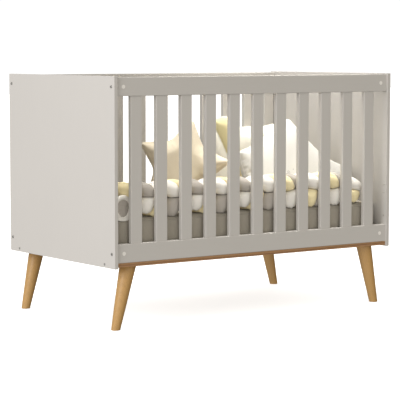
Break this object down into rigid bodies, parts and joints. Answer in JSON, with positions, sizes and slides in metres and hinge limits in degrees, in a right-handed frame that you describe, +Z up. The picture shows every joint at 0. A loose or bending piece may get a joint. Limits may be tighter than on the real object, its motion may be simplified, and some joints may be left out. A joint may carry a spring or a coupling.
{
  "type": "baby crib",
  "caption": "Baby crib with solid end panels, slatted sides, splayed round wooden legs and a height-adjustable mattress platform, dressed with mattress, braided bumper and cushions.",
  "frame": {"origin": "on the floor, under the middle of the crib", "axes": "+X along the crib's length to its right end, -Y to the front side, +Z up"},
  "size_m": [1.345, 0.78, 0.945],
  "materials": {
    "painted_panel": "matt off-white painted fibreboard",
    "painted_rail": "matt off-white painted wood",
    "wood_look_board": "wood-look foil on fibreboard",
    "leg_wood": "clear-coated solid wood",
    "zinc_steel": "zinc plated",
    "bracket_steel": "white powder coat",
    "insert_brass": "plain",
    "cap_plastic": "matt moulded, close to the paint",
    "pine": "planed, uncoated",
    "mattress_cover": "grey cotton fitted cover",
    "bumper_jersey": "stuffed jersey tubes in white, cream and grey",
    "star_fabric": "cream brushed cotton",
    "white_cotton": null,
    "cream_cotton": "pale cream cotton",
    "mustard_cotton": "mustard cotton with cream piping"
  },
  "bodies": {
    "crib_frame": {"end_panel_left": "painted_panel", "end_panel_right": "painted_panel", "front_top_rail": "painted_rail", "front_low_rail": "painted_rail", "rear_top_rail": "painted_rail", "rear_low_rail": "painted_rail", "front_slat_01": "painted_rail", "front_slat_02": "painted_rail", "front_slat_03": "painted_rail", "front_slat_04": "painted_rail", "front_slat_05": "painted_rail", "front_slat_06": "painted_rail", "front_slat_07": "painted_rail", "front_slat_08": "painted_rail", "front_slat_09": "painted_rail", "front_slat_10": "painted_rail", "front_slat_11": "painted_rail", "rear_slat_01": "painted_rail", "rear_slat_02": "painted_rail", "rear_slat_03": "painted_rail", "rear_slat_04": "painted_rail", "rear_slat_05": "painted_rail", "rear_slat_06": "painted_rail", "rear_slat_07": "painted_rail", "rear_slat_08": "painted_rail", "rear_slat_09": "painted_rail", "rear_slat_10": "painted_rail", "rear_slat_11": "painted_rail", "rear_slat_12": "painted_rail", "front_base_board": "wood_look_board", "rear_base_board": "wood_look_board", "leg_front_left": "leg_wood", "leg_front_right": "leg_wood", "leg_rear_left": "leg_wood", "leg_rear_right": "leg_wood", "rail_bolts": "zinc_steel", "barrel_nuts": "zinc_steel", "base_board_end_screws": "zinc_steel", "leg_screws": "zinc_steel", "base_board_rail_screws": "zinc_steel", "bracket_screws": "zinc_steel", "platform_brackets": "bracket_steel", "leg_inserts": "insert_brass", "nut_caps": "cap_plastic", "wood_dowels": "pine"},
    "platform": {"platform_side_front": "pine", "platform_side_rear": "pine", "platform_end_left": "pine", "platform_end_right": "pine", "platform_slats": "pine", "platform_slat_screws": "zinc_steel", "platform_corner_screws": "zinc_steel"},
    "mattress": {"mattress": "mattress_cover"},
    "bumper": {"braided_bumper": "bumper_jersey"},
    "star": {"star_cushion": "star_fabric"},
    "white_pillow": {"white_pillow": "white_cotton"},
    "cream_pillow": {"cream_pillow": "cream_cotton"},
    "petal": {"petal_cushion": "mustard_cotton"}
  },
  "joints": [
    {"name": "platform_height", "type": "slide", "parent": "crib_frame", "child": "platform", "axis": [0, 0, 1], "range_m": [0, 0.19]},
    {"name": "mattress_lift", "type": "slide", "parent": "platform", "child": "mattress", "axis": [0, 0, 1], "range_m": [0, 0.7]},
    {"name": "bumper_lift", "type": "slide", "parent": "mattress", "child": "bumper", "axis": [0, 0, 1], "range_m": [0, 0.56]},
    {"name": "star_lift", "type": "slide", "parent": "mattress", "child": "star", "axis": [0, 0, 1], "range_m": [0, 0.56]},
    {"name": "white_pillow_lift", "type": "slide", "parent": "mattress", "child": "white_pillow", "axis": [0, 0, 1], "range_m": [0, 0.56]},
    {"name": "cream_pillow_lift", "type": "slide", "parent": "mattress", "child": "cream_pillow", "axis": [0, 0, 1], "range_m": [0, 0.56]},
    {"name": "petal_lift", "type": "slide", "parent": "mattress", "child": "petal", "axis": [0, 0, 1], "range_m": [0, 0.56]}
  ]
}
